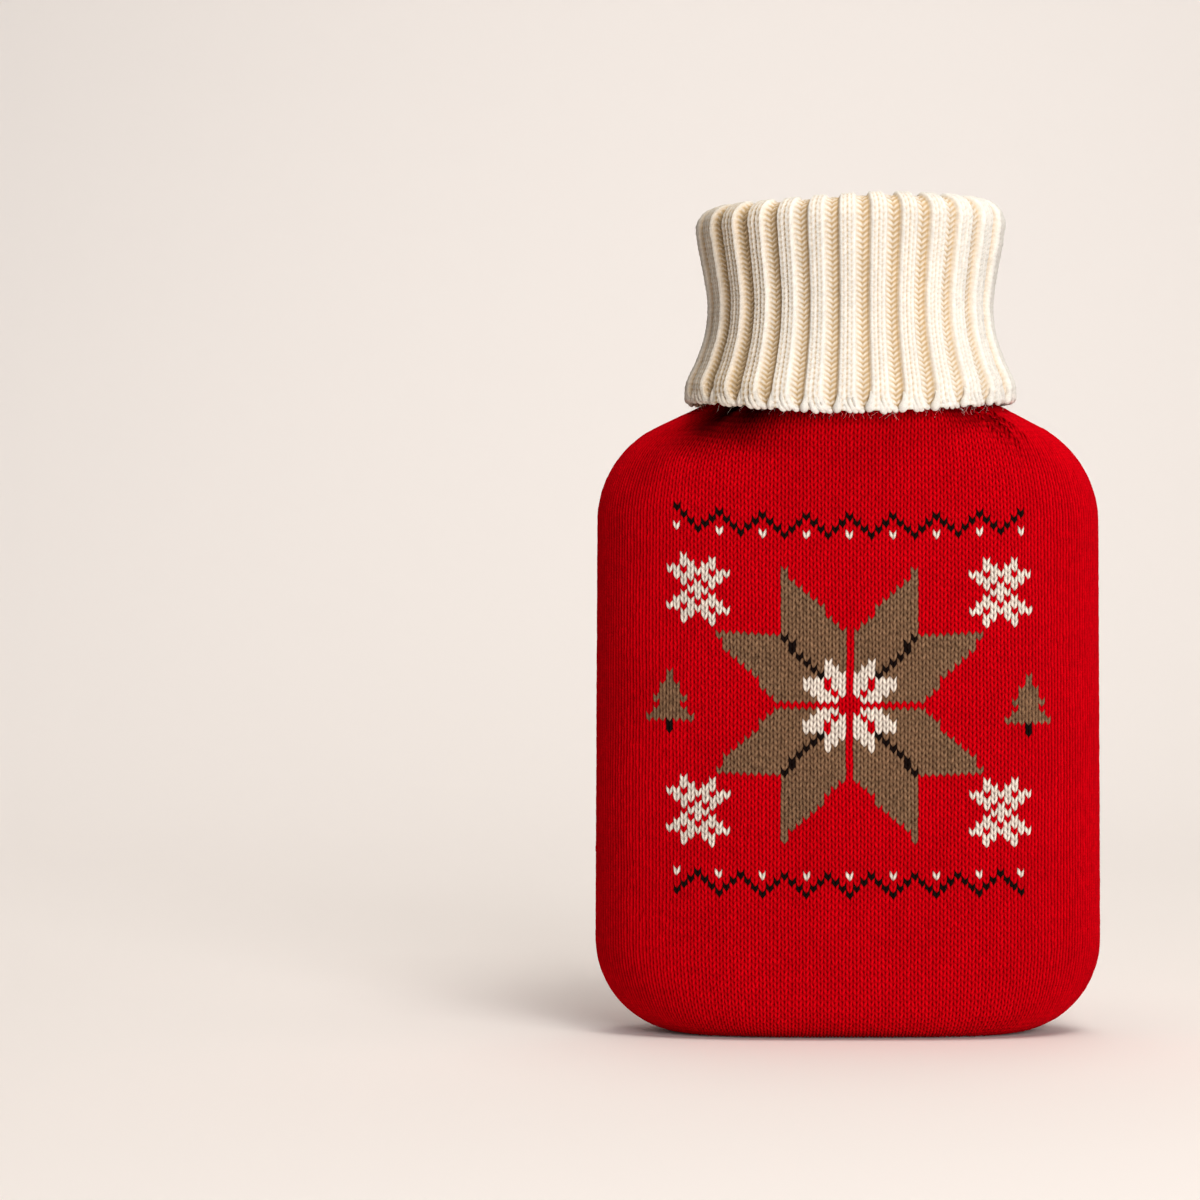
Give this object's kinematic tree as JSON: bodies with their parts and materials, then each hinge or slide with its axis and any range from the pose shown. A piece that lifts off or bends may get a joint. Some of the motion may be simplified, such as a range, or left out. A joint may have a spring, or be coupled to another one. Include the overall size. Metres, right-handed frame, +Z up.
{
  "type": "hot water bottle cover",
  "caption": "Upright knitted cover with rounded shoulders and a flat underside, open at the top through a turned-down ribbed roll neck.",
  "frame": {"origin": "middle of the flat underside", "axes": "+Z up to the open roll neck, -Y out of the front panel, +X to the right of the front view"},
  "size_m": [0.214, 0.096, 0.3487],
  "materials": {
    "front_knit": "plain knitting in red wool-like yarn, with a knitted-in motif in brown, off-white and black yarn",
    "back_knit": "plain knitting in red wool-like yarn",
    "rib_knit": "two-by-two rib in cream wool-like yarn"
  },
  "bodies": {
    "root": {"front_panel": "front_knit", "back_panel": "back_knit", "roll_neck": "rib_knit"}
  },
  "joints": []
}
